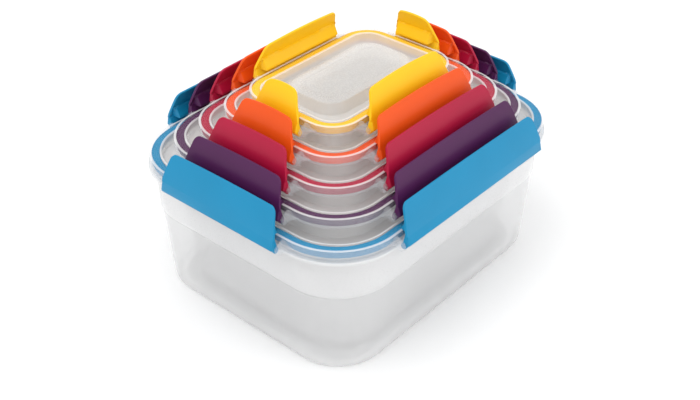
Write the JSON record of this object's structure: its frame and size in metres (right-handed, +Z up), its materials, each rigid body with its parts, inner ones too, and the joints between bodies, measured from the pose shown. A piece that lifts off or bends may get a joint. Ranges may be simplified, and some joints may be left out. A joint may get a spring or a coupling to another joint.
{
  "type": "snap lid food container",
  "caption": "Nested set of rounded-rectangle food containers; each lid has a seal ring and a hinged snap flap on every side, lids stacked on top.",
  "frame": {"origin": "under the middle of the largest container's base, on the surface it stands on", "axes": "+X along the long side of the containers, +Y towards the back long side, +Z up"},
  "size_m": [0.2478, 0.2078, 0.1595],
  "materials": {
    "frosted_body": "milky translucent polypropylene",
    "clear_lid": "clear, faintly milky, glossy",
    "blue_flap": "satin moulded",
    "blue_seal": "soft silicone, smooth",
    "purple_flap": "satin moulded",
    "purple_seal": "soft silicone, smooth",
    "red_flap": "satin moulded",
    "red_seal": "soft silicone, smooth",
    "orange_flap": "satin moulded",
    "orange_seal": "soft silicone, smooth",
    "yellow_flap": "satin moulded",
    "yellow_seal": "soft silicone, smooth"
  },
  "bodies": {
    "container_xl": {"container_xl": "frosted_body"},
    "container_l": {"container_l": "frosted_body"},
    "container_m": {"container_m": "frosted_body"},
    "container_s": {"container_s": "frosted_body"},
    "container_xs": {"container_xs": "frosted_body"},
    "lid_xl": {"lid_xl": "clear_lid", "seal_xl": "blue_seal"},
    "lid_l": {"lid_l": "clear_lid", "seal_l": "purple_seal"},
    "lid_m": {"lid_m": "clear_lid", "seal_m": "red_seal"},
    "lid_s": {"lid_s": "clear_lid", "seal_s": "orange_seal"},
    "lid_xs": {"lid_xs": "clear_lid", "seal_xs": "yellow_seal"},
    "flap_xl_front": {"flap_xl_front": "blue_flap"},
    "flap_xl_right": {"flap_xl_right": "blue_flap"},
    "flap_xl_back": {"flap_xl_back": "blue_flap"},
    "flap_xl_left": {"flap_xl_left": "blue_flap"},
    "flap_l_front": {"flap_l_front": "purple_flap"},
    "flap_l_right": {"flap_l_right": "purple_flap"},
    "flap_l_back": {"flap_l_back": "purple_flap"},
    "flap_l_left": {"flap_l_left": "purple_flap"},
    "flap_m_front": {"flap_m_front": "red_flap"},
    "flap_m_right": {"flap_m_right": "red_flap"},
    "flap_m_back": {"flap_m_back": "red_flap"},
    "flap_m_left": {"flap_m_left": "red_flap"},
    "flap_s_front": {"flap_s_front": "orange_flap"},
    "flap_s_right": {"flap_s_right": "orange_flap"},
    "flap_s_back": {"flap_s_back": "orange_flap"},
    "flap_s_left": {"flap_s_left": "orange_flap"},
    "flap_xs_front": {"flap_xs_front": "yellow_flap"},
    "flap_xs_right": {"flap_xs_right": "yellow_flap"},
    "flap_xs_back": {"flap_xs_back": "yellow_flap"},
    "flap_xs_left": {"flap_xs_left": "yellow_flap"}
  },
  "joints": [
    {"name": "container_l_lift", "type": "slide", "parent": "container_xl", "child": "container_l", "axis": [0, 0, 1], "range_m": [0, 0.1]},
    {"name": "container_m_lift", "type": "slide", "parent": "container_l", "child": "container_m", "axis": [0, 0, 1], "range_m": [0, 0.076]},
    {"name": "container_s_lift", "type": "slide", "parent": "container_m", "child": "container_s", "axis": [0, 0, 1], "range_m": [0, 0.064]},
    {"name": "container_xs_lift", "type": "slide", "parent": "container_s", "child": "container_xs", "axis": [0, 0, 1], "range_m": [0, 0.05]},
    {"name": "lid_xl_lift", "type": "slide", "parent": "container_xs", "child": "lid_xl", "axis": [0, 0, 1], "range_m": [0, 0.05]},
    {"name": "lid_l_lift", "type": "slide", "parent": "lid_xl", "child": "lid_l", "axis": [0, 0, 1], "range_m": [0, 0.04]},
    {"name": "lid_m_lift", "type": "slide", "parent": "lid_l", "child": "lid_m", "axis": [0, 0, 1], "range_m": [0, 0.04]},
    {"name": "lid_s_lift", "type": "slide", "parent": "lid_m", "child": "lid_s", "axis": [0, 0, 1], "range_m": [0, 0.04]},
    {"name": "lid_xs_lift", "type": "slide", "parent": "lid_s", "child": "lid_xs", "axis": [0, 0, 1], "range_m": [0, 0.04]},
    {"name": "flap_xl_front_hinge", "type": "hinge", "parent": "lid_xl", "child": "flap_xl_front", "pos_m": [0, -0.0994, 0.0906], "axis": [1, 0, 0], "range_deg": [0, 150]},
    {"name": "flap_xl_right_hinge", "type": "hinge", "parent": "lid_xl", "child": "flap_xl_right", "pos_m": [0.1194, 0, 0.0906], "axis": [0, 1, 0], "range_deg": [0, 150]},
    {"name": "flap_xl_back_hinge", "type": "hinge", "parent": "lid_xl", "child": "flap_xl_back", "pos_m": [0, 0.0994, 0.0906], "axis": [-1, 0, 0], "range_deg": [0, 150]},
    {"name": "flap_xl_left_hinge", "type": "hinge", "parent": "lid_xl", "child": "flap_xl_left", "pos_m": [-0.1194, 0, 0.0906], "axis": [0, -1, 0], "range_deg": [0, 150]},
    {"name": "flap_l_front_hinge", "type": "hinge", "parent": "lid_l", "child": "flap_l_front", "pos_m": [0, -0.0861, 0.1011], "axis": [1, 0, 0], "range_deg": [0, 20]},
    {"name": "flap_l_right_hinge", "type": "hinge", "parent": "lid_l", "child": "flap_l_right", "pos_m": [0.1061, 0, 0.1011], "axis": [0, 1, 0], "range_deg": [0, 20]},
    {"name": "flap_l_back_hinge", "type": "hinge", "parent": "lid_l", "child": "flap_l_back", "pos_m": [0, 0.0861, 0.1011], "axis": [-1, 0, 0], "range_deg": [0, 20]},
    {"name": "flap_l_left_hinge", "type": "hinge", "parent": "lid_l", "child": "flap_l_left", "pos_m": [-0.1061, 0, 0.1011], "axis": [0, -1, 0], "range_deg": [0, 20]},
    {"name": "flap_m_front_hinge", "type": "hinge", "parent": "lid_m", "child": "flap_m_front", "pos_m": [0, -0.0728, 0.1116], "axis": [1, 0, 0], "range_deg": [0, 20]},
    {"name": "flap_m_right_hinge", "type": "hinge", "parent": "lid_m", "child": "flap_m_right", "pos_m": [0.0928, 0, 0.1116], "axis": [0, 1, 0], "range_deg": [0, 20]},
    {"name": "flap_m_back_hinge", "type": "hinge", "parent": "lid_m", "child": "flap_m_back", "pos_m": [0, 0.0728, 0.1116], "axis": [-1, 0, 0], "range_deg": [0, 20]},
    {"name": "flap_m_left_hinge", "type": "hinge", "parent": "lid_m", "child": "flap_m_left", "pos_m": [-0.0928, 0, 0.1116], "axis": [0, -1, 0], "range_deg": [0, 20]},
    {"name": "flap_s_front_hinge", "type": "hinge", "parent": "lid_s", "child": "flap_s_front", "pos_m": [0, -0.0595, 0.1221], "axis": [1, 0, 0], "range_deg": [0, 20]},
    {"name": "flap_s_right_hinge", "type": "hinge", "parent": "lid_s", "child": "flap_s_right", "pos_m": [0.0795, 0, 0.1221], "axis": [0, 1, 0], "range_deg": [0, 20]},
    {"name": "flap_s_back_hinge", "type": "hinge", "parent": "lid_s", "child": "flap_s_back", "pos_m": [0, 0.0595, 0.1221], "axis": [-1, 0, 0], "range_deg": [0, 20]},
    {"name": "flap_s_left_hinge", "type": "hinge", "parent": "lid_s", "child": "flap_s_left", "pos_m": [-0.0795, 0, 0.1221], "axis": [0, -1, 0], "range_deg": [0, 20]},
    {"name": "flap_xs_front_hinge", "type": "hinge", "parent": "lid_xs", "child": "flap_xs_front", "pos_m": [0, -0.0462, 0.1326], "axis": [1, 0, 0], "range_deg": [0, 20]},
    {"name": "flap_xs_right_hinge", "type": "hinge", "parent": "lid_xs", "child": "flap_xs_right", "pos_m": [0.0662, 0, 0.1326], "axis": [0, 1, 0], "range_deg": [0, 20]},
    {"name": "flap_xs_back_hinge", "type": "hinge", "parent": "lid_xs", "child": "flap_xs_back", "pos_m": [0, 0.0462, 0.1326], "axis": [-1, 0, 0], "range_deg": [0, 20]},
    {"name": "flap_xs_left_hinge", "type": "hinge", "parent": "lid_xs", "child": "flap_xs_left", "pos_m": [-0.0662, 0, 0.1326], "axis": [0, -1, 0], "range_deg": [0, 20]}
  ]
}
